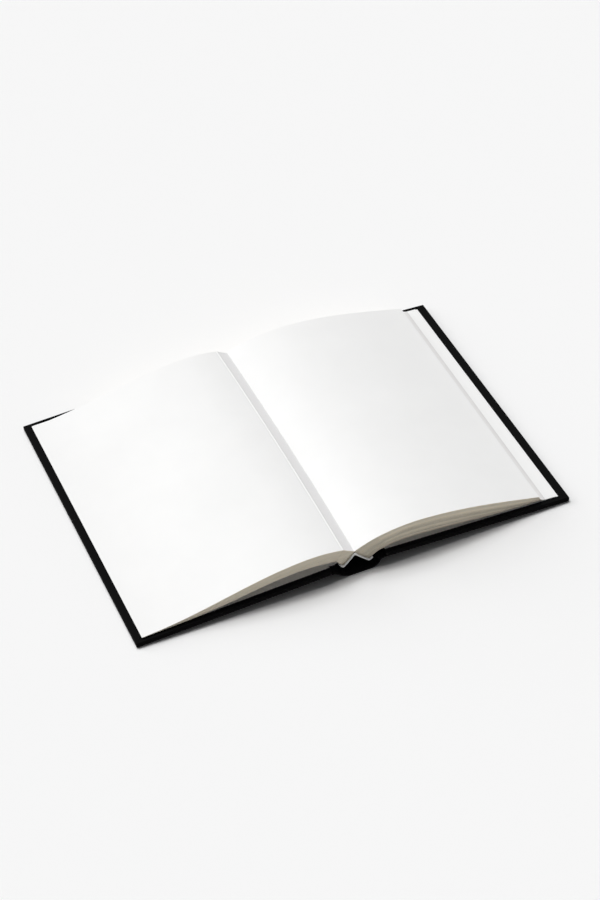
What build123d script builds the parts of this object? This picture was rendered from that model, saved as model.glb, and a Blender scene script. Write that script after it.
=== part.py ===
# An empty photo book, lying open on its back on a flat surface.
# The book is a case binding: a block of leaves, and a cloth-covered case of two boards and a spine card.
# X runs across the spread, Y from the tail to the head, Z up. Z = 0 is the surface it lies on.
# Sizes are in millimetres. A half's own X is measured outwards from the middle, on both sides.

import math
import os
from dataclasses import dataclass

from build123d import *

# Leaves
page_width = 148.0
page_height = 210.0
endpaper = 0.2
flyleaf_gap = 0.05

# Case
head_tail_square = 3.6
fore_square = 4.6
board_thickness = 3.0
cloth = 0.3
turn_in = 15.0
corner_round = 0.5
mitre_seam = 0.15
paste_margin = 6.6

# Spine and joints
hinge_spread = 37.1
hinge_height = 6.2
hinge_gap = 0.4
joint_reach = 1.0
joint_width = 7.0
spine_card = 0.8
glue_gap = 0.02
trough_flat_left = -6.0
trough_flat_right = 8.0
trough_swell = 2.6
left_wall_fall = 0.3
left_wall_middle = 0.36
right_wall_middle = 0.42
right_wall_shoulder = 0.92

# Back of the block, folded up into a ridge under the gutter
ridge_x = -2.1
ridge_z = 15.2
gutter_height = 1.8
guard_top = 9.8
guard_foot = 7.6
lining = 0.6
lining_lap = 3.0

# Head and tail bands
band_diameter = 1.5
band_tape = 0.3
band_tape_depth = 10.0

# Room between the block and a cover, at rest and over the cover's whole swing
rest_gap = 0.3

board_height = page_height + 2 * head_tail_square
cover_reach = page_width + fore_square
hinge_x = hinge_spread / 2
cover_length = math.hypot(cover_reach - hinge_x, hinge_height)
cover_tilt = math.degrees(math.asin(hinge_height / cover_length))
board_width = cover_length - joint_reach - cloth
board_top = cloth + board_thickness
leaf_plane = board_top + cloth + 2 * endpaper + flyleaf_gap + rest_gap


@dataclass
class Half:
    """One half of the opened block, as its leaves lie in it."""

    side: int
    leaves: float
    back_slope: float
    lift_top: float
    lift_foot: float
    crown_top: float
    crown_foot: float
    arch_gap: float
    stack: float
    bow_top: float
    bow_foot: float
    landing_foot: float
    fore_stack: float
    tuck: float
    slant: float
    flyleaf_past: float


left = Half(
    side=-1,
    leaves=11.6,
    back_slope=45.7,
    lift_top=39.6,
    lift_foot=55.0,
    crown_top=36.0,
    crown_foot=43.0,
    arch_gap=6.1,
    stack=8.1,
    bow_top=2.0,
    bow_foot=3.5,
    landing_foot=15.0,
    fore_stack=0.5,
    tuck=0.0,
    slant=-0.6,
    flyleaf_past=-0.4,
)

right = Half(
    side=1,
    leaves=14.2,
    back_slope=43.6,
    lift_top=36.0,
    lift_foot=40.6,
    crown_top=45.0,
    crown_foot=38.0,
    arch_gap=3.8,
    stack=12.9,
    bow_top=1.2,
    bow_foot=2.0,
    landing_foot=25.0,
    fore_stack=1.0,
    tuck=17.0,
    slant=6.4,
    flyleaf_past=13.6,
)

leaf_landing = 2.0
slit_shares = (0.27, 0.6)
slit_width = 0.45
slit_margin = 6.0

# Points along each leaf's curve, and the width of the flats that the spine's curved walls are made of
leaf_steps = 14
wall_facet = 0.9
same_place = 0.001


def blend(foot, top, share):
    """Value between the lowest leaf of a half (share 0) and its top leaf (share 1)."""
    return foot + (top - foot) * share


def leaf_rest(out):
    """Height at which a leaf lies flat over the tilted cover, at a distance out from the middle."""
    slope = math.tan(math.radians(cover_tilt))
    return leaf_plane / math.cos(math.radians(cover_tilt)) + (cover_reach - out) * slope


def back_point(half, share):
    """Place on the block's back where a leaf is fastened, as (out, z)."""
    down = (1 - share) * half.leaves
    slope = math.radians(half.back_slope)
    return half.side * ridge_x + down * math.cos(slope), ridge_z - down * math.sin(slope)


def crease_point(half, share):
    """Place of a leaf's scored crease, at the end of its stiff guard strip."""
    out, z = back_point(half, share)
    lift = math.radians(blend(half.lift_foot, half.lift_top, share))
    guard = blend(guard_foot, guard_top, share)
    return out + guard * math.cos(lift), z + guard * math.sin(lift)


def fore_edge(half, share):
    """Distance out from the middle at which a leaf ends."""
    return page_width - half.tuck + half.slant * (1 - share)


def leaf_height(half, share, out):
    """Height of a leaf beyond its crease: it rises to a crown and comes down on the cover."""
    crease_out, crease_z = crease_point(half, share)
    crown = blend(half.crown_foot, half.crown_top, share)
    rise = half.arch_gap + half.stack * share
    landing = page_width + blend(-half.landing_foot, leaf_landing, share)
    base = half.fore_stack * share
    if out < crown:
        start = crease_z - leaf_rest(crease_out) - base
        part = (crown - out) / (crown - crease_out)
        arch = rise - base - (rise - base - start) * part**2
    elif out < landing:
        part = (out - crown) / (landing - crown)
        arch = (rise - base) * math.cos(math.pi / 2 * part) ** blend(half.bow_foot, half.bow_top, share)
    else:
        arch = 0.0
    return leaf_rest(out) + base + arch


def leaf_line(half, share, end, start=None, shift=lambda part: 0.0):
    """Smooth line along a leaf, from its crease or from start, to the distance end."""
    first = crease_point(half, share)[0] if start is None else start
    points = []
    for i in range(leaf_steps + 1):
        part = i / leaf_steps
        out = blend(first, end, part)
        points.append((half.side * out, leaf_height(half, share, out) + shift(part)))
    return Spline(*points)


def place(half, point):
    """A point (out, z) of a half as (x, z)."""
    return half.side * point[0], point[1]


def along_y(face_lines, low, high):
    """Solid from a closed outline in X and Z, running along Y from low to high."""
    outline = Plane.XZ * make_face(Wire(face_lines))
    return Pos(0, high, 0) * extrude(outline, amount=high - low, dir=(0, -1, 0))


def half_section(half):
    """Outline of one half of the block: back, guard, top leaf, fore edge and underside."""
    foot = place(half, back_point(half, 0))
    foot_crease = place(half, crease_point(half, 0))
    ridge = place(half, back_point(half, 1))
    gutter = (ridge[0], ridge[1] + gutter_height)
    top_crease = place(half, crease_point(half, 1))
    top = leaf_line(half, 1, fore_edge(half, 1))
    under = leaf_line(half, 0, fore_edge(half, 0))
    return [
        Line(foot, ridge),
        Line(ridge, gutter),
        Line(gutter, top_crease),
        top,
        Line(top @ 1, under @ 1),
        under,
        Line(foot_crease, foot),
    ]


def slit(half, share):
    """Narrow opening between two groups of leaves, closed at the crease and at the fore edge."""
    start = crease_point(half, share)[0] + slit_margin
    end = fore_edge(half, share) - slit_margin

    def upper(part):
        return slit_width / 2 * math.sin(math.pi * part)

    def lower(part):
        return -upper(part)

    lines = [leaf_line(half, share, end, start, upper), leaf_line(half, share, end, start, lower)]
    return along_y(lines, -page_height, page_height)


def make_pages():
    """All the leaves, as one block opened at the gutter."""
    half_height = page_height / 2
    block = along_y(half_section(left), -half_height, half_height)
    block += along_y(half_section(right), -half_height, half_height)
    for share in slit_shares:
        block -= slit(right, share)
    return block


def make_flyleaf(half):
    """Free endpaper: follows the underside of its half and goes on over the cover."""
    end = page_width - half.tuck + half.flyleaf_past
    upper = leaf_line(half, 0, end, shift=lambda part: -flyleaf_gap)
    lower = leaf_line(half, 0, end, shift=lambda part: -flyleaf_gap - endpaper)
    lines = [upper, Line(upper @ 1, lower @ 1), lower, Line(lower @ 0, upper @ 0)]
    return along_y(lines, -page_height / 2, page_height / 2)


def back_path():
    """The back of the block from lap to lap: up one side, over the ridge and down the other."""
    points = []
    for half in (left, right):
        foot = Vector(*place(half, back_point(half, 0)))
        crease = Vector(*place(half, crease_point(half, 0)))
        lap = foot + (crease - foot).normalized() * lining_lap
        points.append([lap, foot])
    ridge = Vector(ridge_x, ridge_z)
    return [points[0][0], points[0][1], ridge, points[1][1], points[1][0]]


def shifted(points, amount):
    """An open line of points moved sideways by amount, its corners mitred. Minus is away from the leaves."""
    sides = []
    for here, there in zip(points, points[1:]):
        run = (there - here).normalized()
        sides.append(Vector(-run.Y, run.X))
    moved = [points[0] + sides[0] * amount]
    for point, before, after in zip(points[1:-1], sides, sides[1:]):
        moved.append(point + (before + after) * (amount / (1 + before.dot(after))))
    moved.append(points[-1] + sides[-1] * amount)
    return moved


def back_strip(near, far, low, high):
    """Strip along the back of the block, between two distances from it."""
    inner = shifted(back_path(), near)
    outer = shifted(back_path(), far)
    return along_y(Polyline(*inner, *reversed(outer), close=True), low, high)


def make_spine_lining():
    """Cloth and paper glued over the folded back, lapping on to the outer leaves."""
    return back_strip(0, -lining, -page_height / 2, page_height / 2)


def make_band(end):
    """Corded band at the head (end 1) or the tail (end -1) of the back, with its glued tape."""
    block_end = page_height / 2
    radius = band_diameter / 2
    cord_path = Plane.XZ * Polyline(*shifted(back_path(), radius))
    cord_wire = Pos(0, block_end + radius, 0) * cord_path
    start = Plane(origin=cord_wire @ 0, z_dir=cord_wire % 0)
    cord = sweep(start * Circle(radius), path=cord_wire, transition=Transition.RIGHT)
    tape = back_strip(-lining, -lining - band_tape, block_end - band_tape_depth, block_end + radius)
    fold = back_strip(radius, -lining - band_tape, block_end + radius / 2, block_end + radius)
    band = cord + tape + fold
    return band if end > 0 else mirror(band, about=Plane.XZ)


def trough_path():
    """Outer line of the covering under the spine, from one hinge to the other."""
    clear = hinge_gap / 2
    start = (-hinge_x + clear, hinge_height)
    end = (hinge_x - clear, hinge_height)
    left_wall = Spline(
        start,
        ((start[0] + trough_flat_left) / 2, hinge_height * left_wall_middle),
        (trough_flat_left, 0),
        tangents=((1, -left_wall_fall), (1, 0)),
    )
    bottom = Line((trough_flat_left, 0), (trough_flat_right, 0))
    right_wall = Spline(
        (trough_flat_right, 0),
        ((trough_flat_right + end[0]) / 2 + trough_swell / 4, hinge_height * right_wall_middle),
        (end[0] - trough_swell, hinge_height * right_wall_shoulder),
        end,
        tangents=((1, 0), (1, 0)),
    )
    return Wire([left_wall, bottom, right_wall])


def spine_card_span(path):
    """Share of the trough's length at which the spine card starts and ends."""
    edge = joint_width / path.length
    return edge, 1 - edge


def trough_corners(path):
    """Shares of the trough's length at which its strips bend, so that strips laid on each other fit."""
    flat = [path.param_at_point(Vector(x, 0)) for x in (trough_flat_left, trough_flat_right)]
    start, end = spine_card_span(path)
    edge = cloth / path.length
    marks = [0, start - edge, start, *flat, end, end + edge, 1]
    corners = [0]
    for first, last in zip(marks, marks[1:]):
        level = first == flat[0]
        steps = 1 if level else math.ceil((last - first) * path.length / wall_facet)
        corners += [blend(first, last, (i + 1) / steps) for i in range(steps)]
    return corners


def trough_band(path, near, far, start, end, low, high):
    """Curved strip over a stretch of the trough, between two heights above its outer line."""
    apart = same_place / path.length
    inside = [share for share in trough_corners(path) if start + apart < share < end - apart]

    def row(height):
        points = []
        for share in (start, *inside, end):
            run = path % share
            points.append(path @ share + Vector(-run.Y, run.X) * height)
        return points

    return along_y(Polyline(*row(near), *reversed(row(far)), close=True), low, high)


def make_spine_card():
    """Flexible card glued inside the covering along the spine."""
    path = trough_path()
    start, end = spine_card_span(path)
    half_height = board_height / 2 - cloth
    low = cloth + glue_gap
    high = cloth + spine_card - glue_gap
    return trough_band(path, low, high, start, end, -half_height, half_height)


def make_spine_covering():
    """Covering cloth under the spine and in both joints, folded in at the head and the tail."""
    path = trough_path()
    start, end = spine_card_span(path)
    edge = cloth / path.length
    half_height = board_height / 2
    fold_low = half_height - turn_in
    inner = cloth + spine_card
    cover = trough_band(path, 0, cloth, 0, 1, -half_height, half_height)
    middle = cloth / 2
    fold = trough_band(path, middle, inner + cloth, start - edge, end + edge, half_height - cloth, half_height)
    fold += trough_band(path, inner, inner + cloth, start - edge, end + edge, fold_low, half_height)
    for low, high in ((start - edge, start), (end, end + edge)):
        fold += trough_band(path, middle, inner + cloth, low, high, fold_low, half_height)
    for low, high in ((0, start), (end, 1)):
        fold += trough_band(path, middle, 2 * cloth, low, high, fold_low, half_height)
    return cover + fold + mirror(fold, about=Plane.XZ)


def slab(u_low, u_high, v_low, v_high, height):
    """Flat block in a cover's own frame: u outwards from the hinge, v up from its outer face."""
    middle = ((u_low + u_high) / 2, 0, (v_low + v_high) / 2)
    return Pos(*middle) * Box(u_high - u_low, height, v_high - v_low)


def board_solid():
    """One bare board, square cut."""
    return slab(joint_reach, joint_reach + board_width, cloth, board_top, board_height - 2 * cloth)


def covering_solid():
    """Covering cloth of one cover: outer face, three wrapped edges, and the turned-in margin."""
    inner_edge = hinge_gap / 2
    wrap = slab(inner_edge, cover_length, 0, board_top + cloth, board_height)
    outer_edges = wrap.edges().filter_by(Axis.X) + wrap.edges().filter_by(Axis.Y).group_by(Axis.X)[-1]
    wrap = fillet(outer_edges, corner_round)
    wrap -= slab(0, cover_length - cloth, cloth, board_top, board_height - 2 * cloth)
    wrap -= slab(0, joint_reach, cloth, 2 * board_top, 2 * board_height)
    wrap -= slab(0, cover_length - turn_in, cloth, 2 * board_top, board_height - 2 * turn_in)
    for end in (-1, 1):
        seam = Box(turn_in * math.sqrt(2) - 4 * corner_round, mitre_seam, cloth)
        corner = (cover_length - turn_in / 2, end * (board_height - turn_in) / 2, board_top + cloth)
        wrap -= Pos(*corner) * Rot(0, 0, end * 45) * seam
    return wrap


def pastedown_solid():
    """Endpaper glued down: over the turned-in cloth, sunk on to the board, and down its inner edge."""
    top = board_top + cloth + endpaper
    end = cover_length - paste_margin
    window = board_height - 2 * turn_in
    sheet = slab(joint_reach - endpaper, end, cloth, top, page_height)
    sheet -= slab(joint_reach, cover_length, 0, board_top, board_height)
    over_cloth = slab(joint_reach, cover_length, 0, board_top + cloth, board_height)
    over_cloth -= slab(0, cover_length - turn_in, 0, top, window)
    sheet -= over_cloth
    sheet -= slab(0, cover_length - turn_in - endpaper, board_top + endpaper, 2 * top, window - 2 * endpaper)
    return sheet


def seat(half, solid):
    """Sets a piece of a cover, made in its own frame, on its hinge line."""
    placed = Pos(hinge_x, 0, hinge_height) * Rot(0, cover_tilt, 0) * solid
    return placed if half.side > 0 else mirror(placed, about=Plane.YZ)


def main():
    os.makedirs("parts", exist_ok=True)
    pieces = {
        "pages": make_pages(),
        "spine_lining": make_spine_lining(),
        "head_band": make_band(1),
        "tail_band": make_band(-1),
        "front_flyleaf": make_flyleaf(left),
        "back_flyleaf": make_flyleaf(right),
        "spine_card": make_spine_card(),
        "spine_covering": make_spine_covering(),
    }
    for name, half in (("front", left), ("back", right)):
        pieces[name + "_board"] = seat(half, board_solid())
        pieces[name + "_covering"] = seat(half, covering_solid())
        pieces[name + "_pastedown"] = seat(half, pastedown_solid())
    for name, solid in pieces.items():
        export_step(solid, "parts/" + name + ".step")


main()
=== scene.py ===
import math
import random
from dataclasses import dataclass

import bmesh
import bpy
from mathutils import Matrix, Vector


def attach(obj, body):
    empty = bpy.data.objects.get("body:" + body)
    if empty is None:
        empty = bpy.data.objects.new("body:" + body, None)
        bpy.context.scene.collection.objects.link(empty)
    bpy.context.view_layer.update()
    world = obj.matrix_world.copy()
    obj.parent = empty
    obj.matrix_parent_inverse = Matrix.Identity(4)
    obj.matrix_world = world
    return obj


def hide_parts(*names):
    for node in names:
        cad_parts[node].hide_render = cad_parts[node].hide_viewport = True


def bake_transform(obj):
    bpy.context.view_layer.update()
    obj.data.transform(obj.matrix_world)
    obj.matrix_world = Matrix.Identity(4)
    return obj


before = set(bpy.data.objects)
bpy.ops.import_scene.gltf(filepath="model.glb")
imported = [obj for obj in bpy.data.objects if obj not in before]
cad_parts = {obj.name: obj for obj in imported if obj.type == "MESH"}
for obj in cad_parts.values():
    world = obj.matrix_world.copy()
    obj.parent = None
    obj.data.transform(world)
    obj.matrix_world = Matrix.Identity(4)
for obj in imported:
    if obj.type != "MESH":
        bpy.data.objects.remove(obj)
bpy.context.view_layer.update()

# Leaves and endpapers, as in the solids
page_width = 0.148
page_height = 0.210
endpaper = 0.0002
flyleaf_gap = 0.00005
rest_gap = 0.0003
leaf_landing = 0.002

# Case, as in the solids
head_tail_square = 0.0036
fore_square = 0.0046
board_thickness = 0.003
cloth = 0.0003
turn_in = 0.015
hinge_spread = 0.0371
hinge_height = 0.0062
hinge_gap = 0.0004
joint_reach = 0.001
joint_width = 0.007
spine_card = 0.0008
trough_flat_left = -0.006
trough_flat_right = 0.008
trough_swell = 0.0026
left_wall_fall = 0.3
left_wall_middle = 0.36
right_wall_middle = 0.42
right_wall_shoulder = 0.92

# Back of the block, folded up into a ridge under the gutter, as in the solids
ridge_x = -0.0021
ridge_z = 0.0152
gutter_height = 0.0018
guard_top = 0.0098
guard_foot = 0.0076
lining = 0.0006
lining_lap = 0.003
band_tape = 0.0003
band_tape_depth = 0.010

board_height = page_height + 2 * head_tail_square
cover_reach = page_width + fore_square
hinge_x = hinge_spread / 2
cover_length = math.hypot(cover_reach - hinge_x, hinge_height)
cover_tilt = math.asin(hinge_height / cover_length)
board_top = cloth + board_thickness
leaf_plane = board_top + cloth + 2 * endpaper + flyleaf_gap + rest_gap


@dataclass
class Half:
    """One half of the opened block. A share of 0 is its lowest leaf and 1 its top leaf.

    In the names, foot and top are these two leaves. Lift is the slope of the stiff strip up to the crease,
    and crown is how far out the arch is highest. Tuck is how far the top leaf ends short of the page's width,
    and slant how much further out the lowest one ends. The groups of leaves go from the lowest up, each with
    the share at which it ends and its level: how proud it stands at the tail, from 0 for the deepest to 1.
    """

    name: str
    cover: str
    side: int
    leaves: float
    back_slope: float
    lift_top: float
    lift_foot: float
    crown_top: float
    crown_foot: float
    arch_gap: float
    stack: float
    bow_top: float
    bow_foot: float
    landing_foot: float
    fore_stack: float
    tuck: float
    slant: float
    crease_ridge: float
    crease_valley: float
    crease_round: float
    fore_swing: float
    head_swing: float
    joint_open: float
    # A group's level also sets the tone of its edges: deeper groups get painted shade
    groups: tuple


left = Half(
    name="left",
    cover="front",
    side=-1,
    leaves=0.0116,
    back_slope=45.7,
    lift_top=39.6,
    lift_foot=55.0,
    crown_top=0.036,
    crown_foot=0.043,
    arch_gap=0.0061,
    stack=0.0081,
    bow_top=2.0,
    bow_foot=3.5,
    landing_foot=0.015,
    fore_stack=0.0005,
    tuck=0.0,
    slant=-0.0006,
    crease_ridge=0.00018,
    crease_valley=0.00007,
    crease_round=0.0002,
    fore_swing=0.0,
    head_swing=0.0012,
    joint_open=0.0045,
    groups=((0.05, 0.35), (1.0, 0.85)),
)

# As the half's solid is, but for its upper leaves, which reach out up to 1.3 mm further here
right = Half(
    name="right",
    cover="back",
    side=1,
    leaves=0.0142,
    back_slope=43.6,
    lift_top=36.0,
    lift_foot=40.6,
    crown_top=0.045,
    crown_foot=0.038,
    arch_gap=0.0038,
    stack=0.0129,
    bow_top=1.2,
    bow_foot=2.0,
    landing_foot=0.025,
    fore_stack=0.001,
    tuck=0.0157,
    slant=0.0051,
    crease_ridge=0.0,
    crease_valley=0.0,
    crease_round=0.008,
    fore_swing=0.0007,
    head_swing=0.0,
    joint_open=0.0065,
    groups=(
        (0.06, 0.2),
        (0.15, 0.5),
        (0.23, 0.1),
        (0.30, 0.45),
        (0.40, 0.95),
        (0.47, 0.5),
        (0.60, 0.05),
        (0.68, 0.5),
        (0.85, 1.0),
        (1.0, 0.85),
    ),
)


@dataclass
class Detail:
    """How finely a leaf is drawn, across and along. Only a top leaf shows its crease's relief."""

    steps: int
    rows: int
    top: bool


under_leaf = Detail(steps=34, rows=6, top=False)
top_leaf = Detail(steps=110, rows=30, top=True)

# Steps across a leaf: closer together near the crease, and fewer on the strip and the crease itself
leaf_spread = 1.6
arch_steps_per_guard_step = 8
crease_steps = 8

# Single leaves: pitch at the back, the part of it that stays open, and small differences at the tail and head
leaf_pitch = 0.00044
leaf_opening = 0.16
leaf_jitter = 0.00012
deepest_recess = 0.0003
head_recess = 0.5

# Tone of the leaves' ends, from 0 for dark to 1: the random part of it, and what strip and crease pull it to.
# The crease's dark tone is painted shade
leaf_tone = 0.2
guard_tone = 0.8
crease_shade_tone = 0.3
end_pull = 0.75

# Gutter: how fast its rise and bow fade in the leaves below, and the bow between the tail and the head
gutter_fade = 7
gutter_bow = 0.0014
gutter_bow_reach = 0.012

# Relief of the leaves: a long wave and a share of a short one from tail to head, and the crease's relief
wave = 0.00016
wave_length = 0.13
wave_skew = 5
short_wave = 0.6
short_wave_length = 0.071
short_wave_start = 2
crease_ridge_width = 0.00022
crease_valley_width = 0.0004
crease_valley_away = 0.0009

# Order of the materials on a piece of leaves
page_face, end_face, fore_face, shaded_guard_face = range(4)

# Bands: a cord wrapped in thread, thinner at its ends, and the tape's bends
band_bend = 0.0012
bend_steps = 8
thread_round = 0.00135
thread_arch = 0.0005
thread_arch_reach = 0.0022
thread_gap = 0.00005
thread_pitch = 0.00062
thread_depth = 0.13
thread_samples = 6
cord_sides = 14
cord_end = 0.55
cord_end_steps = 4
tape_step = 0.0012

# Cloth under the spine: its rounded corners, and how it is carried over the hinge
cloth_steps = 60
cloth_flat_steps = 6
cloth_round = 0.00025
card_clearance = 0.00002
cloth_overlap = 0.00005

# Endpaper's fold over the joint: its way from the block's foot over the two cloths to the pastedown
joint_paper_steps = 40
joint_paper_inset = 0.001
joint_paper_lap = 0.9
joint_paper_clear = 0.0004
joint_paper_over = 0.0002
joint_paper_dip = 0.0004
joint_paper_inside = 0.0026
joint_paper_near = 0.0002
joint_paper_fall = 0.1

# Cloth turned in on a board's inner edge
joint_cloth_gap = 0.00005
joint_cloth_thickness = 0.0002

# Angle at which the shading of a piece breaks, and rounds in which a smooth line settles
sharp_angle = 35
line_rounds = 40

# Colours, each as a dark and a light one
page_colours = ((0.915, 0.915, 0.91), (0.93, 0.93, 0.925))
# The guard strip's paper is a little darker than the page: painted shade beside the gutter
guard_shade_colours = ((0.87, 0.865, 0.866), (0.885, 0.88, 0.881))
endpaper_colours = ((0.905, 0.905, 0.90), (0.925, 0.925, 0.92))
# Leaf and fore edges go dark partly at random and partly as painted shade
leaf_edge_colours = ((0.67, 0.60, 0.475), (0.98, 0.885, 0.71))
fore_edge_colours = ((0.75, 0.74, 0.735), (0.88, 0.875, 0.87))
cloth_colours = ((0.0010, 0.0010, 0.0011), (0.0028, 0.0028, 0.0030))
thread_colours = ((0.93, 0.93, 0.925), (0.98, 0.98, 0.975))
lining_colours = ((0.66, 0.63, 0.56), (0.82, 0.80, 0.75))
board_colours = ((0.26, 0.25, 0.23), (0.40, 0.385, 0.35))

# Flyleaves: plain colour and a warm one painted as a reflection of the leaf edges, and where each holds, out
# from the gutter and along it
flyleaf_and_reflection_colours = ((0.925, 0.925, 0.92), (0.955, 0.87, 0.75))
flyleaf_reflection_out = (0.12, 0.09)
flyleaf_reflection_along = (0.092, 0.104)

# Sizes of what shows in the surfaces
paper_cloud = 0.022
paper_mottle = 0.004
paper_tooth = 0.0006
edge_fibre = 0.0012
cloth_slub = 0.0022
cloth_pitch = 0.00055
gauze_pitch = 0.0016
thread_fuzz = 0.0003
lining_mottle = 0.001
board_fleck = 0.0008

# Mixing: a leaf's shade value in its edge (random tone and painted shade), the weave in the cloth's relief,
# and how thin the gauze's threads are
shade_share = 0.7
weave_height = 0.3
gauze_power = 6

# Camera: a pinhole fitted to the photograph's frame of 600 by 900. Its sensor and lens are in millimetres
photo_height = 900
focal_pixels = 2174.36
sensor = 36
camera_place = (-0.40672, -0.96579, 1.02274)
camera_yaw = 23.178
camera_pitch = 43.916
camera_roll = -1.2

# Light: lamps far off, as (name, heading from the head side towards +X, height, strength, size)
lamps = (
    ("high_lamp", 0, 65, 1.98, 40),
    ("side_lamp", -45, 20, 1.3, 40),
    ("key_lamp", -40, 60, 0.67, 10),
)
sky_strength = 0.085
background = 0.945
floor_reach = 6.0
floor_gap = 0.00003


def blend(foot, top, share):
    """Value between one at share 0 and another at share 1."""
    return foot + (top - foot) * share


def leaf_rest(out):
    """Height at which a leaf lies flat over the tilted cover, at a distance out from the middle."""
    return leaf_plane / math.cos(cover_tilt) + (cover_reach - out) * math.tan(cover_tilt)


def back_point(half, share):
    """Place on the block's back where a leaf is fastened."""
    down = (1 - share) * half.leaves
    slope = math.radians(half.back_slope)
    return half.side * ridge_x + down * math.cos(slope), ridge_z - down * math.sin(slope)


def crease_point(half, share):
    """Place of a leaf's scored crease, at the end of its stiff guard strip."""
    out, z = back_point(half, share)
    lift = math.radians(blend(half.lift_foot, half.lift_top, share))
    guard = blend(guard_foot, guard_top, share)
    return out + guard * math.cos(lift), z + guard * math.sin(lift)


def fore_edge(half, share):
    """Distance out from the middle at which a leaf ends."""
    return page_width - half.tuck + half.slant * (1 - share)


def leaf_height(half, share, out):
    """Height of a leaf beyond its crease: it rises to a crown and comes down on the cover."""
    crease_out, crease_z = crease_point(half, share)
    crown = blend(half.crown_foot, half.crown_top, share)
    rise = half.arch_gap + half.stack * share
    landing = page_width + blend(-half.landing_foot, leaf_landing, share)
    base = half.fore_stack * share
    if out < crown:
        start = crease_z - leaf_rest(crease_out) - base
        part = (crown - out) / (crown - crease_out)
        arch = rise - base - (rise - base - start) * part**2
    elif out < landing:
        part = (out - crown) / (landing - crown)
        arch = (rise - base) * math.cos(math.pi / 2 * part) ** blend(half.bow_foot, half.bow_top, share)
    else:
        arch = 0.0
    return leaf_rest(out) + base + arch


def level_of(half, share):
    """Level of the group of leaves at a share."""
    return next(level for up_to, level in half.groups if share <= up_to)


def bend_point(start, corner, end, part):
    """Point of a round bend that takes the place of a corner."""
    return (1 - part) ** 2 * start + 2 * part * (1 - part) * corner + part**2 * end


def length_of(line):
    """Length of a line through points."""
    return sum((b - a).length for a, b in zip(line, line[1:]))


def smooth_line(points, first_run, last_run, steps):
    """Smooth curve through 2-D points with a given run at each end, and points spread along it."""
    lengths = [math.dist(a, b) for a, b in zip(points, points[1:])]
    runs = [Vector(first_run).normalized()]
    runs += [Vector((0, 0)) for _ in points[1:-1]]
    runs.append(Vector(last_run).normalized())
    places = [Vector(p) for p in points]
    for _ in range(line_rounds):
        for i in range(1, len(points) - 1):
            before, after = lengths[i - 1], lengths[i]
            pull = 3 * (
                after / before * (places[i] - places[i - 1]) + before / after * (places[i + 1] - places[i])
            )
            runs[i] = (pull - after * runs[i - 1] - before * runs[i + 1]) / (2 * (before + after))
    line = []
    for i, length in enumerate(lengths):
        count = max(1, round(steps * length / sum(lengths)))
        for k in range(count + (i == len(lengths) - 1)):
            t = k / count
            line.append(
                (2 * t**3 - 3 * t**2 + 1) * places[i]
                + (t**3 - 2 * t**2 + t) * length * runs[i]
                + (3 * t**2 - 2 * t**3) * places[i + 1]
                + (t**3 - t**2) * length * runs[i + 1]
            )
    return line


def normals_of(line):
    """Unit vectors to the left of a 2-D line at each of its points."""
    found = []
    for i in range(len(line)):
        run = (line[min(i + 1, len(line) - 1)] - line[max(i - 1, 0)]).normalized()
        found.append(Vector((-run.y, run.x)))
    return found


def new_piece(name, bm, materials):
    """A new object from a bmesh, with its materials. Its shading breaks at sharp edges."""
    bmesh.ops.recalc_face_normals(bm, faces=bm.faces)
    for edge in bm.edges:
        if edge.is_manifold and edge.calc_face_angle() > math.radians(sharp_angle):
            edge.smooth = False
    mesh = bpy.data.meshes.new(name)
    bm.to_mesh(mesh)
    bm.free()
    for material in materials:
        mesh.materials.append(material)
    piece = bpy.data.objects.new(name, mesh)
    bpy.context.scene.collection.objects.link(piece)
    return piece


def tube_of_loops(bm, loops, smooth=True):
    """Closed skin over a row of loops with as many points each, capped at both ends."""
    rings = [[bm.verts.new(p) for p in loop] for loop in loops]
    count = len(rings[0])
    for ring, following in zip(rings, rings[1:]):
        for i in range(count):
            j = (i + 1) % count
            face = bm.faces.new((ring[i], ring[j], following[j], following[i]))
            face.smooth = smooth
    bm.faces.new(rings[0])
    bm.faces.new(list(reversed(rings[-1])))


def strip_loops(line, thickness, first, second):
    """Loops round a thin strip along a 2-D line in X and Z, from one Y to another."""
    loops = []
    for point, side in zip(line, normals_of(line)):
        near, far = point + side * (thickness / 2), point - side * (thickness / 2)
        corners = ((near, first), (near, second), (far, second), (far, first))
        loops.append([(p.x, y, p.y) for p, y in corners])
    return loops


def leaf_relief(half, out, y, crease_out, end, share, top):
    """Waviness of a leaf, most on the upper ones. A top leaf has its crease's ridge and valley too."""
    part = max(0.0, min(1.0, (out - crease_out) / (end - crease_out)))
    swell = math.sin(math.pi * part) ** 2
    along = math.sin(2 * math.pi * y / wave_length + wave_skew * part)
    along += short_wave * math.sin(2 * math.pi * y / short_wave_length + short_wave_start)
    relief = wave * swell * along * share**2
    if top:
        away = out - crease_out
        relief += half.crease_ridge * math.exp(-((away / crease_ridge_width) ** 2))
        relief -= half.crease_valley * math.exp(-(((away - crease_valley_away) / crease_valley_width) ** 2))
    return relief


def leaf_line(half, share, end, steps):
    """One side of a leaf from its root to its fore edge: guard strip, crease and arch."""
    root_out, root_z = back_point(half, share)
    root_z += gutter_height * share**gutter_fade
    crease_out, crease_z = crease_point(half, share)
    root, crease = Vector((root_out, root_z)), Vector((crease_out, crease_z))
    turn_start = crease + (root - crease).normalized() * half.crease_round
    turn_out = crease_out + half.crease_round
    turn_end = Vector((turn_out, leaf_height(half, share, turn_out)))
    guard_steps = steps // arch_steps_per_guard_step
    line = [root.lerp(turn_start, i / guard_steps) for i in range(guard_steps)]
    line += [bend_point(turn_start, crease, turn_end, i / crease_steps) for i in range(crease_steps)]
    for i in range(steps + 1):
        out = blend(turn_out, end, (i / steps) ** leaf_spread)
        line.append(Vector((out, leaf_height(half, share, out))))
    return line


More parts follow.
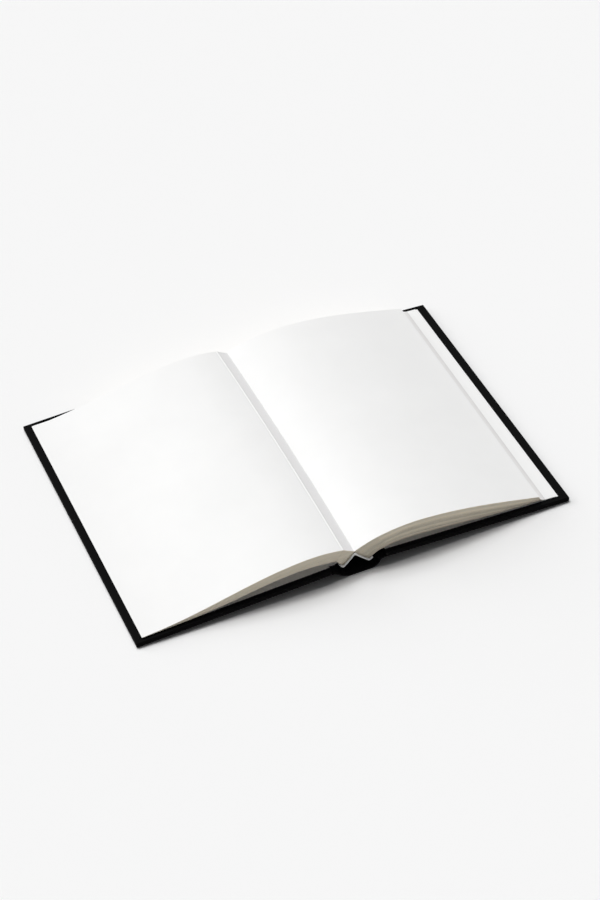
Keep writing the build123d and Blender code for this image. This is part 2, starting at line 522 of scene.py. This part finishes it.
def leaf_ring(bm, half, share, end, upper, lower, y, top):
    """Vertices of a leaf's two sides at one place between the tail and the head."""
    crease_out = crease_point(half, share)[0]
    bowed = gutter_bow * share**gutter_fade * (1 - (2 * y / page_height) ** 2)
    top_row, low_row = [], []
    for high_point, low_point in zip(upper, lower):
        lift = leaf_relief(half, high_point.x, y, crease_out, end, share, top)
        for (out, z), row in ((high_point, top_row), (low_point, low_row)):
            part = max(0.0, (out - crease_out) / (end - crease_out))
            swung = out + half.fore_swing * part * y / page_height * 2
            beyond = max(0.0, out - crease_out) / gutter_bow_reach
            x = half.side * swung + bowed * math.exp(-(beyond**2))
            row.append(bm.verts.new((x, y - half.head_swing * part, z + lift)))
    return top_row, low_row


def end_tone(tone, i, guard_steps):
    """Tone of a leaf's end at one step out from its root; the crease is darker, as painted shade."""
    if i < guard_steps:
        return blend(tone, guard_tone, end_pull)
    if i < guard_steps + crease_steps:
        return blend(tone, crease_shade_tone, end_pull)
    return tone


def add_leaf(bm, shade, tone, half, low, high, tail, head, detail):
    """One leaf as a closed sheet between two shares of its half, from the tail to the head."""
    middle = (low + high) / 2
    end = fore_edge(half, middle)
    upper, lower = (leaf_line(half, share, end, detail.steps) for share in (high, low))
    rings = []
    for j in range(detail.rows + 1):
        y = blend(tail, head, j / detail.rows)
        rings.append(leaf_ring(bm, half, middle, end, upper, lower, y, detail.top))

    def add(corners, material, smooth, face_tone):
        face = bm.faces.new(corners)
        face.material_index = material
        face.smooth = smooth
        face[shade] = face_tone

    last = len(upper) - 1
    guard_steps = detail.steps // arch_steps_per_guard_step
    upper_faces = [page_face] * last
    if not detail.top:
        upper_faces[-1] = fore_face
    # A scored top leaf's guard strip gets the darker guard paper, painted shade beside the gutter
    elif half.crease_ridge:
        upper_faces[:guard_steps] = [shaded_guard_face] * guard_steps
    # Fore-edge faces take the leaf's share as tone: lower leaves are painted darker, as shade under the upper
    # ones
    for (top, bottom), (next_top, next_bottom) in zip(rings, rings[1:]):
        for i, material in enumerate(upper_faces):
            add((top[i], top[i + 1], next_top[i + 1], next_top[i]), material, True, middle)
            add((bottom[i + 1], bottom[i], next_bottom[i], next_bottom[i + 1]), page_face, True, tone)
        add((top[-1], bottom[-1], next_bottom[-1], next_top[-1]), fore_face, False, middle)
        add((bottom[0], top[0], next_top[0], next_bottom[0]), end_face, False, tone)
    for top, bottom in (rings[0], rings[-1]):
        for i in range(last):
            corners = (bottom[i], bottom[i + 1], top[i + 1], top[i])
            add(corners, end_face, False, end_tone(tone, i, guard_steps))


def make_leaves(half, materials):
    """All leaves of one half under its top leaf, and the top leaf."""
    count = round(half.leaves / leaf_pitch)
    runs = (("leaves", 0, count - 1, under_leaf), ("top_leaf", count - 1, count, top_leaf))
    for name, first, last, detail in runs:
        bm = bmesh.new()
        shade = bm.faces.layers.float.new("leaf_shade")
        for k in range(first, last):
            low = (k + leaf_opening) / count
            high = (k + 1) / count
            level = level_of(half, (low + high) / 2)
            tail, head = -page_height / 2, page_height / 2
            if not detail.top:
                recess = deepest_recess * (1 - level)
                tail += recess + leaf_jitter * random.random()
                head -= head_recess * recess + leaf_jitter * random.random()
            # Tone: a random part, the rest from the group's level, so deeper groups get painted shade
            tone = leaf_tone * random.random() + (1 - leaf_tone) * level
            add_leaf(bm, shade, tone, half, low, high, tail, head, detail)
        piece = new_piece(half.name + "_" + name, bm, materials)
        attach(piece, "book_block")
        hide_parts("pages")


def back_path():
    """The back of the block from lap to lap, as 2-D points in X and Z."""
    ends = []
    for half in (left, right):
        foot = Vector(back_point(half, 0))
        crease = Vector(crease_point(half, 0))
        lap = foot + (crease - foot).normalized() * lining_lap
        ends.append([Vector((half.side * p.x, p.y)) for p in (lap, foot)])
    return [ends[0][0], ends[0][1], Vector((ridge_x, ridge_z)), ends[1][1], ends[1][0]]


def shifted(points, amount):
    """An open 2-D line moved sideways, its corners mitred. Minus is away from the leaves."""
    sides = []
    for here, there in zip(points, points[1:]):
        run = (there - here).normalized()
        sides.append(Vector((-run.y, run.x)))
    moved = [points[0] + sides[0] * amount]
    for point, before, after in zip(points[1:-1], sides, sides[1:]):
        moved.append(point + (before + after) * (amount / (1 + before.dot(after))))
    moved.append(points[-1] + sides[-1] * amount)
    return moved


def rounded(points, radius, spacing):
    """A 2-D line with its corners rounded, resampled at an even spacing."""
    line = [points[0]]
    for before, corner, after in zip(points, points[1:], points[2:]):
        start = corner + (before - corner).normalized() * radius
        end = corner + (after - corner).normalized() * radius
        line += [bend_point(start, corner, end, i / bend_steps) for i in range(bend_steps + 1)]
    line.append(points[-1])
    total = length_of(line)
    count = round(total / spacing)
    even, travelled, i = [], 0.0, 0
    for k in range(count + 1):
        target = total * k / count
        while i < len(line) - 2 and travelled + (line[i + 1] - line[i]).length < target:
            travelled += (line[i + 1] - line[i]).length
            i += 1
        length = (line[i + 1] - line[i]).length
        even.append(line[i].lerp(line[i + 1], min(1.0, (target - travelled) / length)))
    return even


def cord_loops(end):
    """Loops round a band's cord, which the thread's turns make uneven."""
    radius = thread_round / 2
    y = end * (page_height / 2 + radius + thread_gap)
    line = rounded(shifted(back_path(), radius - lining), band_bend, thread_pitch / thread_samples)
    for point in line:
        point.y += thread_arch * math.exp(-(((point.x - ridge_x) / thread_arch_reach) ** 2))
    loops = []
    for k, (point, side) in enumerate(zip(line, normals_of(line))):
        rounding = min(1.0, min(k, len(line) - 1 - k) / cord_end_steps)
        loop = []
        for i in range(cord_sides):
            angle = 2 * math.pi * i / cord_sides
            turn = math.pi * k / thread_samples + angle / 2
            thread = 1 - thread_depth * (1 - abs(math.cos(turn)))
            reach = radius * thread * blend(cord_end, 1, rounding)
            place = point + side * (reach * math.cos(angle))
            loop.append((place.x, y + reach * math.sin(angle), place.y))
        loops.append(loop)
    return loops


def tape_loops(end):
    """Loops round the tape that a band's cord is sewn to."""
    line = rounded(shifted(back_path(), -lining - band_tape / 2), band_bend, tape_step)
    inner = end * (page_height / 2 - band_tape_depth)
    outer = end * page_height / 2
    return strip_loops(line, band_tape, inner, outer)


def make_band(name, end, material):
    """Corded band, a cord wrapped in thread, with its tape. The end is 1 at the head and -1 at the tail."""
    bm = bmesh.new()
    tube_of_loops(bm, cord_loops(end))
    tube_of_loops(bm, tape_loops(end), smooth=False)
    piece = new_piece(name + "_thread", bm, [material])
    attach(piece, "book_block")
    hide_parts(name)


def trough_walls():
    """Outer lines of the cloth under the spine, left from the hinge down and right up to the hinge."""
    clear = hinge_gap / 2
    start = (-hinge_x + clear, hinge_height)
    end = (hinge_x - clear, hinge_height)
    left_wall = smooth_line(
        [start, ((start[0] + trough_flat_left) / 2, hinge_height * left_wall_middle), (trough_flat_left, 0)],
        (1, -left_wall_fall),
        (1, 0),
        cloth_steps,
    )
    right_wall = smooth_line(
        [
            (trough_flat_right, 0),
            ((trough_flat_right + end[0]) / 2 + trough_swell / 4, hinge_height * right_wall_middle),
            (end[0] - trough_swell, hinge_height * right_wall_shoulder),
            end,
        ],
        (1, 0),
        (1, 0),
        cloth_steps,
    )
    return left_wall, right_wall


def cover_point(half, u, v):
    """A point of a cover's own frame, as 2-D: u outwards from the hinge, v up from its outer face."""
    out = hinge_x + u * math.cos(cover_tilt) + v * math.sin(cover_tilt)
    return Vector((half.side * out, hinge_height - u * math.sin(cover_tilt) + v * math.cos(cover_tilt)))


def spine_cloth_line(half):
    """Outer line of half the cloth under the spine, from its middle over the hinge to the cover."""
    left_wall, right_wall = trough_walls()
    wall = list(reversed(left_wall)) if half is left else right_wall
    middle = Vector(((trough_flat_left + trough_flat_right) / 2, 0))
    flat = [middle.lerp(wall[0], i / cloth_flat_steps) for i in range(cloth_flat_steps)]
    reach = [cover_point(half, u, 0) for u in (-cloth_overlap, hinge_gap / 4, hinge_gap / 2)]
    return flat + wall + reach


def spine_cloth_section(inner):
    """Section of the cloth from tail to head, as (y, height). Its turned-in ends lie at an inner height."""
    end = board_height / 2
    fold = end - turn_in
    top = inner + cloth
    turn = end - cloth_round
    outside = [(fold, top), (turn, top), (end, top - cloth_round), (end, cloth_round), (turn, 0)]
    inside = [(fold, inner), (end - cloth, inner), (end - cloth, cloth)]
    section = [(-y, height) for y, height in outside]
    section += reversed(outside)
    section += inside
    section += [(-y, height) for y, height in reversed(inside)]
    return section


def bend_over_hinge(piece):
    """Bakes a piece's placement into its mesh."""
    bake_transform(piece)


def make_spine_cloth(half, material):
    """Half of the cloth under the spine, with its turned-in ends, carried over the hinge to the cover."""
    line = spine_cloth_line(half)
    total = length_of(line)
    loops = []
    for i, (point, side) in enumerate(zip(line, normals_of(line))):
        to_joint = (total - length_of(line[: i + 1]) - joint_width - hinge_gap) / cloth
        over_card = max(0.0, min(1.0, to_joint + 1))
        section = spine_cloth_section(cloth + card_clearance + spine_card * over_card)
        inward = side * half.side
        places = [(y, point + inward * height) for y, height in section]
        loops.append([(place.x, y, place.y) for y, place in places])
    bm = bmesh.new()
    tube_of_loops(bm, loops)
    piece = new_piece(half.cover + "_half_of_spine_cloth", bm, [material])
    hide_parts("spine_covering")
    bend_over_hinge(piece)


def joint_paper_line(half):
    """Line of the endpaper's fold, from the flyleaf down the block's foot and over the joint."""
    foot = Vector(back_point(half, 0))
    crease = Vector(crease_point(half, 0))
    run = (crease - foot).normalized()
    away = Vector((run.y, -run.x))
    top = crease + away * (flyleaf_gap + endpaper / 2)
    lap = foot + run * lining_lap * joint_paper_lap + away * (lining + joint_paper_clear)
    over_height = hinge_height + 2 * cloth + joint_paper_over
    inside = Vector((hinge_x - joint_paper_inside, over_height - joint_paper_dip))
    over = Vector((hinge_x - joint_paper_near, over_height))
    edge = cover_point(half, joint_reach - endpaper, cloth + endpaper)
    edge = Vector((abs(edge.x), edge.y + joint_paper_over))
    line = smooth_line([top, lap, inside, over, edge], -run, (1, -joint_paper_fall), joint_paper_steps)
    return [Vector((half.side * p.x, p.y)) for p in line]


def make_joint_paper(half, material):
    """The endpaper's fold over the joint, which joins the flyleaf to the pastedown."""
    reach = page_height / 2 - half.joint_open + joint_paper_inset
    bm = bmesh.new()
    tube_of_loops(bm, strip_loops(joint_paper_line(half), endpaper, -reach, reach))
    piece = new_piece(half.cover + "_joint_paper", bm, [material])
    bend_over_hinge(piece)


def make_joint_cloth(half, material):
    """The turned-in cloth on a board's inner edge, at the head and the tail, in front of the endpaper."""
    far = joint_reach - endpaper - joint_cloth_gap
    near = far - joint_cloth_thickness
    low, high = 2 * cloth, board_top + cloth + endpaper
    corners = [cover_point(half, u, v) for u, v in ((near, low), (far, low), (far, high), (near, high))]
    bm = bmesh.new()
    for end in (-1, 1):
        loops = [
            [(corner.x, end * (board_height / 2 - away), corner.y) for corner in corners]
            for away in (cloth, half.joint_open)
        ]
        tube_of_loops(bm, loops, smooth=False)
    piece = new_piece(half.cover + "_joint_cloth", bm, [material])
    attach(piece, half.cover + "_cover")


def node(tree, kind, **settings):
    """A new shader node. A setting is a property, or the value of an input if its name starts with in_."""
    made = tree.nodes.new(kind)
    for key, value in settings.items():
        if key.startswith("in_"):
            made.inputs[key[3:].replace("_", " ")].default_value = value
        else:
            setattr(made, key, value)
    return made


def start_material(name, **settings):
    """A material with one surface shader, and the place on the object. Settings are constant inputs."""
    material = bpy.data.materials.new(name)
    material.use_nodes = True
    tree = material.node_tree
    shader = tree.nodes["Principled BSDF"]
    for key, value in settings.items():
        shader.inputs[key.replace("_", " ")].default_value = value
    place = node(tree, "ShaderNodeTexCoord").outputs["Object"]
    return material, tree, shader, place


def noise_of(tree, place, size, detail=2.0, stretch=None):
    """Noise with features of a size in metres, stretched if asked."""
    if stretch:
        mapping = node(tree, "ShaderNodeMapping", in_Scale=stretch)
        tree.links.new(place, mapping.inputs["Vector"])
        place = mapping.outputs["Vector"]
    texture = node(tree, "ShaderNodeTexNoise", in_Scale=1 / size, in_Detail=detail)
    tree.links.new(place, texture.inputs["Vector"])
    return texture.outputs["Fac"]


def math_of(tree, operation, first, second=0):
    """A math node on one or two values, each a socket or a number."""
    made = node(tree, "ShaderNodeMath", operation=operation)
    for socket, value in zip(made.inputs, (first, second)):
        if isinstance(value, (int, float)):
            socket.default_value = value
        else:
            tree.links.new(value, socket)
    return made.outputs["Value"]


def ramp(tree, value, colours, start, end):
    """Colour between two, over a value that goes from a start to an end."""
    made = node(tree, "ShaderNodeValToRGB")
    for element, position, colour in zip(made.color_ramp.elements, (start, end), colours):
        element.position = position
        element.color = (*colour, 1)
    tree.links.new(value, made.inputs["Fac"])
    return made.outputs["Color"]


def span(tree, value, low, high):
    """A value from 0 to 1 mapped to a range."""
    made = node(tree, "ShaderNodeMapRange", in_To_Min=low, in_To_Max=high)
    tree.links.new(value, made.inputs["Value"])
    return made.outputs["Result"]


def axes_of(tree, place):
    """The separate coordinates of a place, by axis."""
    made = node(tree, "ShaderNodeSeparateXYZ")
    tree.links.new(place, made.inputs["Vector"])
    return made.outputs


def thread_waves(tree, place, axes, pitch):
    """Waves of a weave's threads along some axes, each from -1 to 1."""
    coordinates = axes_of(tree, place)
    waves = []
    for axis in axes:
        turns = math_of(tree, "MULTIPLY", coordinates[axis], 2 * math.pi / pitch)
        waves.append(math_of(tree, "SINE", turns))
    return waves


def finish_surface(tree, shader, colour, roughness, height, strength, depth):
    """Gives a shader its colour and roughness, and a bump from a height of 0 to 1."""
    made = node(tree, "ShaderNodeBump", in_Strength=strength, in_Distance=depth)
    tree.links.new(height, made.inputs["Height"])
    tree.links.new(made.outputs["Normal"], shader.inputs["Normal"])
    tree.links.new(colour, shader.inputs["Base Color"])
    tree.links.new(roughness, shader.inputs["Roughness"])


def paper_material(name, colours):
    """Uncoated paper: faint cloudy tone, fine tooth."""
    material, tree, shader, place = start_material(name, Specular_IOR_Level=0.12)
    clouds = noise_of(tree, place, paper_cloud, detail=4.0)
    colour = ramp(tree, clouds, colours, start=0.3, end=0.7)
    mottle = noise_of(tree, place, paper_mottle)
    tooth = math_of(tree, "ADD", noise_of(tree, place, paper_tooth, detail=4.0), mottle)
    roughness = span(tree, mottle, low=0.72, high=0.86)
    finish_surface(tree, shader, colour, roughness, tooth, strength=0.25, depth=0.00003)
    return material


def flyleaf_material():
    """The endpaper's free leaf: painted warm at the head and tail under the leaves, as a reflection of the
    leaf edges in shade, plain elsewhere.
    """
    material, tree, shader, place = start_material("flyleaf_paper", Specular_IOR_Level=0.12)
    coordinates = axes_of(tree, place)
    warm_parts = []
    for axis, (plain_at, warm_at) in (("X", flyleaf_reflection_out), ("Y", flyleaf_reflection_along)):
        part = node(tree, "ShaderNodeMapRange", in_From_Min=plain_at, in_From_Max=warm_at)
        tree.links.new(math_of(tree, "ABSOLUTE", coordinates[axis]), part.inputs["Value"])
        warm_parts.append(part.outputs["Result"])
    colour = ramp(tree, math_of(tree, "MULTIPLY", *warm_parts), flyleaf_and_reflection_colours, start=0.0, end=1.0)
    roughness = span(tree, noise_of(tree, place, paper_mottle), low=0.72, high=0.86)
    tooth = noise_of(tree, place, paper_tooth, detail=4.0)
    finish_surface(tree, shader, colour, roughness, tooth, strength=0.25, depth=0.00003)
    return material


def leaf_edge_material(name, colours):
    """Cut edges of the leaves, each leaf a little different at random, and darker where shade is painted on:
    deeper groups, the crease, and the lower leaves at the fore edge.
    """
    material, tree, shader, place = start_material(name, Specular_IOR_Level=0.1)
    shade_value = node(tree, "ShaderNodeAttribute", attribute_name="leaf_shade").outputs["Fac"]
    fibres = noise_of(tree, place, edge_fibre, detail=3.0, stretch=(0.12, 1.0, 2.0))
    shade_part = math_of(tree, "MULTIPLY", shade_value, shade_share)
    fibre_part = math_of(tree, "MULTIPLY", fibres, 1 - shade_share)
    colour = ramp(tree, math_of(tree, "ADD", shade_part, fibre_part), colours, start=0.15, end=0.85)
    roughness = span(tree, fibres, low=0.75, high=0.95)
    finish_surface(tree, shader, colour, roughness, fibres, strength=0.4, depth=0.00004)
    return material


def book_cloth_material():
    """Matt black book cloth: a fine plain weave with slubs."""
    material, tree, shader, place = start_material("black_book_cloth", Specular_IOR_Level=0.035)
    waves = thread_waves(tree, place, "XYZ", cloth_pitch)
    pairs = [math_of(tree, "MULTIPLY", a, b) for a, b in (waves[:2], waves[1:], waves[::2])]
    weave = math_of(tree, "ADD", math_of(tree, "ADD", pairs[0], pairs[1]), pairs[2])
    slubs = noise_of(tree, place, cloth_slub, detail=4.0)
    height = math_of(tree, "ADD", math_of(tree, "MULTIPLY", weave, weave_height), slubs)
    colour = ramp(tree, slubs, cloth_colours, start=0.3, end=0.75)
    roughness = span(tree, slubs, low=0.62, high=0.85)
    finish_surface(tree, shader, colour, roughness, height, strength=0.6, depth=0.00006)
    return material


def thread_material():
    """White cotton thread of the corded bands."""
    material, tree, shader, place = start_material("white_thread", Specular_IOR_Level=0.2, Sheen_Weight=0.6)
    fuzz = noise_of(tree, place, thread_fuzz, detail=3.0)
    colour = ramp(tree, fuzz, thread_colours, start=0.3, end=0.7)
    roughness = span(tree, fuzz, low=0.7, high=0.9)
    finish_surface(tree, shader, colour, roughness, fuzz, strength=0.4, depth=0.00004)
    return material


def lining_material():
    """Open-weave lining cloth under thin paper."""
    material, tree, shader, place = start_material("back_lining", Specular_IOR_Level=0.1)
    threads = []
    for thread_wave in thread_waves(tree, place, "XY", gauze_pitch):
        threads.append(math_of(tree, "POWER", math_of(tree, "ABSOLUTE", thread_wave), gauze_power))
    mesh = math_of(tree, "MAXIMUM", threads[0], threads[1])
    colour = ramp(tree, mesh, lining_colours, start=0.2, end=0.8)
    roughness = span(tree, noise_of(tree, place, lining_mottle), low=0.7, high=0.9)
    finish_surface(tree, shader, colour, roughness, mesh, strength=0.5, depth=0.0001)
    return material


def board_material():
    """Dense grey board, seen only where it isn't covered."""
    material, tree, shader, place = start_material("grey_board", Specular_IOR_Level=0.1)
    flecks = noise_of(tree, place, board_fleck, detail=5.0)
    colour = ramp(tree, flecks, board_colours, start=0.3, end=0.7)
    roughness = span(tree, flecks, low=0.75, high=0.95)
    finish_surface(tree, shader, colour, roughness, flecks, strength=0.5, depth=0.00008)
    return material


def make_floor():
    """Pale floor, far larger than the view."""
    bm = bmesh.new()
    bmesh.ops.create_grid(bm, x_segments=1, y_segments=1, size=floor_reach)
    grey = (background, background, background, 1)
    material = start_material("pale_floor", Base_Color=grey, Roughness=0.9, Specular_IOR_Level=0.0)[0]
    floor = new_piece("floor", bm, [material])
    floor.location.z = -floor_gap


def make_lamp(name, heading, height, strength, size):
    """A lamp far off, seen from the book at a heading and a height, with its apparent size."""
    lamp = bpy.data.lights.new(name, "SUN")
    lamp.energy = strength
    lamp.angle = math.radians(size)
    sun = bpy.data.objects.new(name, lamp)
    heading, height = math.radians(heading), math.radians(height)
    level = math.cos(height)
    towards = Vector((level * math.sin(heading), level * math.cos(heading), math.sin(height)))
    sun.rotation_mode = "QUATERNION"
    sun.rotation_quaternion = towards.to_track_quat("Z", "Y")
    bpy.context.scene.collection.objects.link(sun)


def make_sky():
    """An even pale sky, which the camera sees brighter than it lights the book."""
    world = bpy.data.worlds.new("studio")
    bpy.context.scene.world = world
    world.use_nodes = True
    tree = world.node_tree
    sky = tree.nodes["Background"]
    sky.inputs["Color"].default_value = (1, 1, 1, 1)
    paths = node(tree, "ShaderNodeLightPath").outputs
    seen = math_of(tree, "MAXIMUM", paths["Is Camera Ray"], paths["Is Transmission Ray"])
    seen = math_of(tree, "MAXIMUM", seen, paths["Is Glossy Ray"])
    tree.links.new(span(tree, seen, low=sky_strength, high=background), sky.inputs["Strength"])


def make_camera():
    """The photograph's camera, from its place, direction and focal length in pixels."""
    yaw, pitch, roll = (math.radians(a) for a in (camera_yaw, camera_pitch, camera_roll))
    forward = Vector((math.sin(yaw) * math.cos(pitch), math.cos(yaw) * math.cos(pitch), -math.sin(pitch)))
    level = Vector((math.cos(yaw), -math.sin(yaw), 0))
    above = level.cross(forward)
    across = math.cos(roll) * level + math.sin(roll) * above
    upright = -math.sin(roll) * level + math.cos(roll) * above
    turned = Matrix((across, upright, -forward)).transposed().to_4x4()
    data = bpy.data.cameras.new("camera")
    data.sensor_width = sensor
    data.lens = sensor * focal_pixels / photo_height
    camera = bpy.data.objects.new("camera", data)
    camera.matrix_world = Matrix.Translation(camera_place) @ turned
    bpy.context.scene.collection.objects.link(camera)
    bpy.context.scene.camera = camera


def dress(name, material):
    """Gives a carried-over node its material."""
    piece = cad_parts[name]
    if not piece.material_slots:
        piece.data.materials.append(material)
    for slot in piece.material_slots:
        slot.material = material


random.seed(7)
page_paper = paper_material("page_paper", page_colours)
# Painted shade beside the gutter, on the top leaf's guard strip
shaded_guard_paper = paper_material("shaded_guard_paper", guard_shade_colours)
end_paper = paper_material("end_paper", endpaper_colours)
flyleaf_paper = flyleaf_material()
leaf_edges = leaf_edge_material("leaf_edges", leaf_edge_colours)
fore_edges = leaf_edge_material("fore_edges", fore_edge_colours)
book_cloth = book_cloth_material()
thread = thread_material()
grey_board = board_material()
back_lining = lining_material()

for half in (left, right):
    make_leaves(half, [page_paper, leaf_edges, fore_edges, shaded_guard_paper])
    make_spine_cloth(half, book_cloth)
    make_joint_paper(half, end_paper)
    make_joint_cloth(half, book_cloth)
    dress(half.cover + "_flyleaf", flyleaf_paper)
    dress(half.cover + "_pastedown", end_paper)
    dress(half.cover + "_board", grey_board)
    dress(half.cover + "_covering", book_cloth)
make_band("head_band", 1, thread)
make_band("tail_band", -1, thread)
dress("spine_lining", back_lining)
dress("spine_card", grey_board)

make_floor()
for lamp in lamps:
    make_lamp(*lamp)
make_sky()
make_camera()
bpy.context.scene.view_settings.view_transform = "Standard"
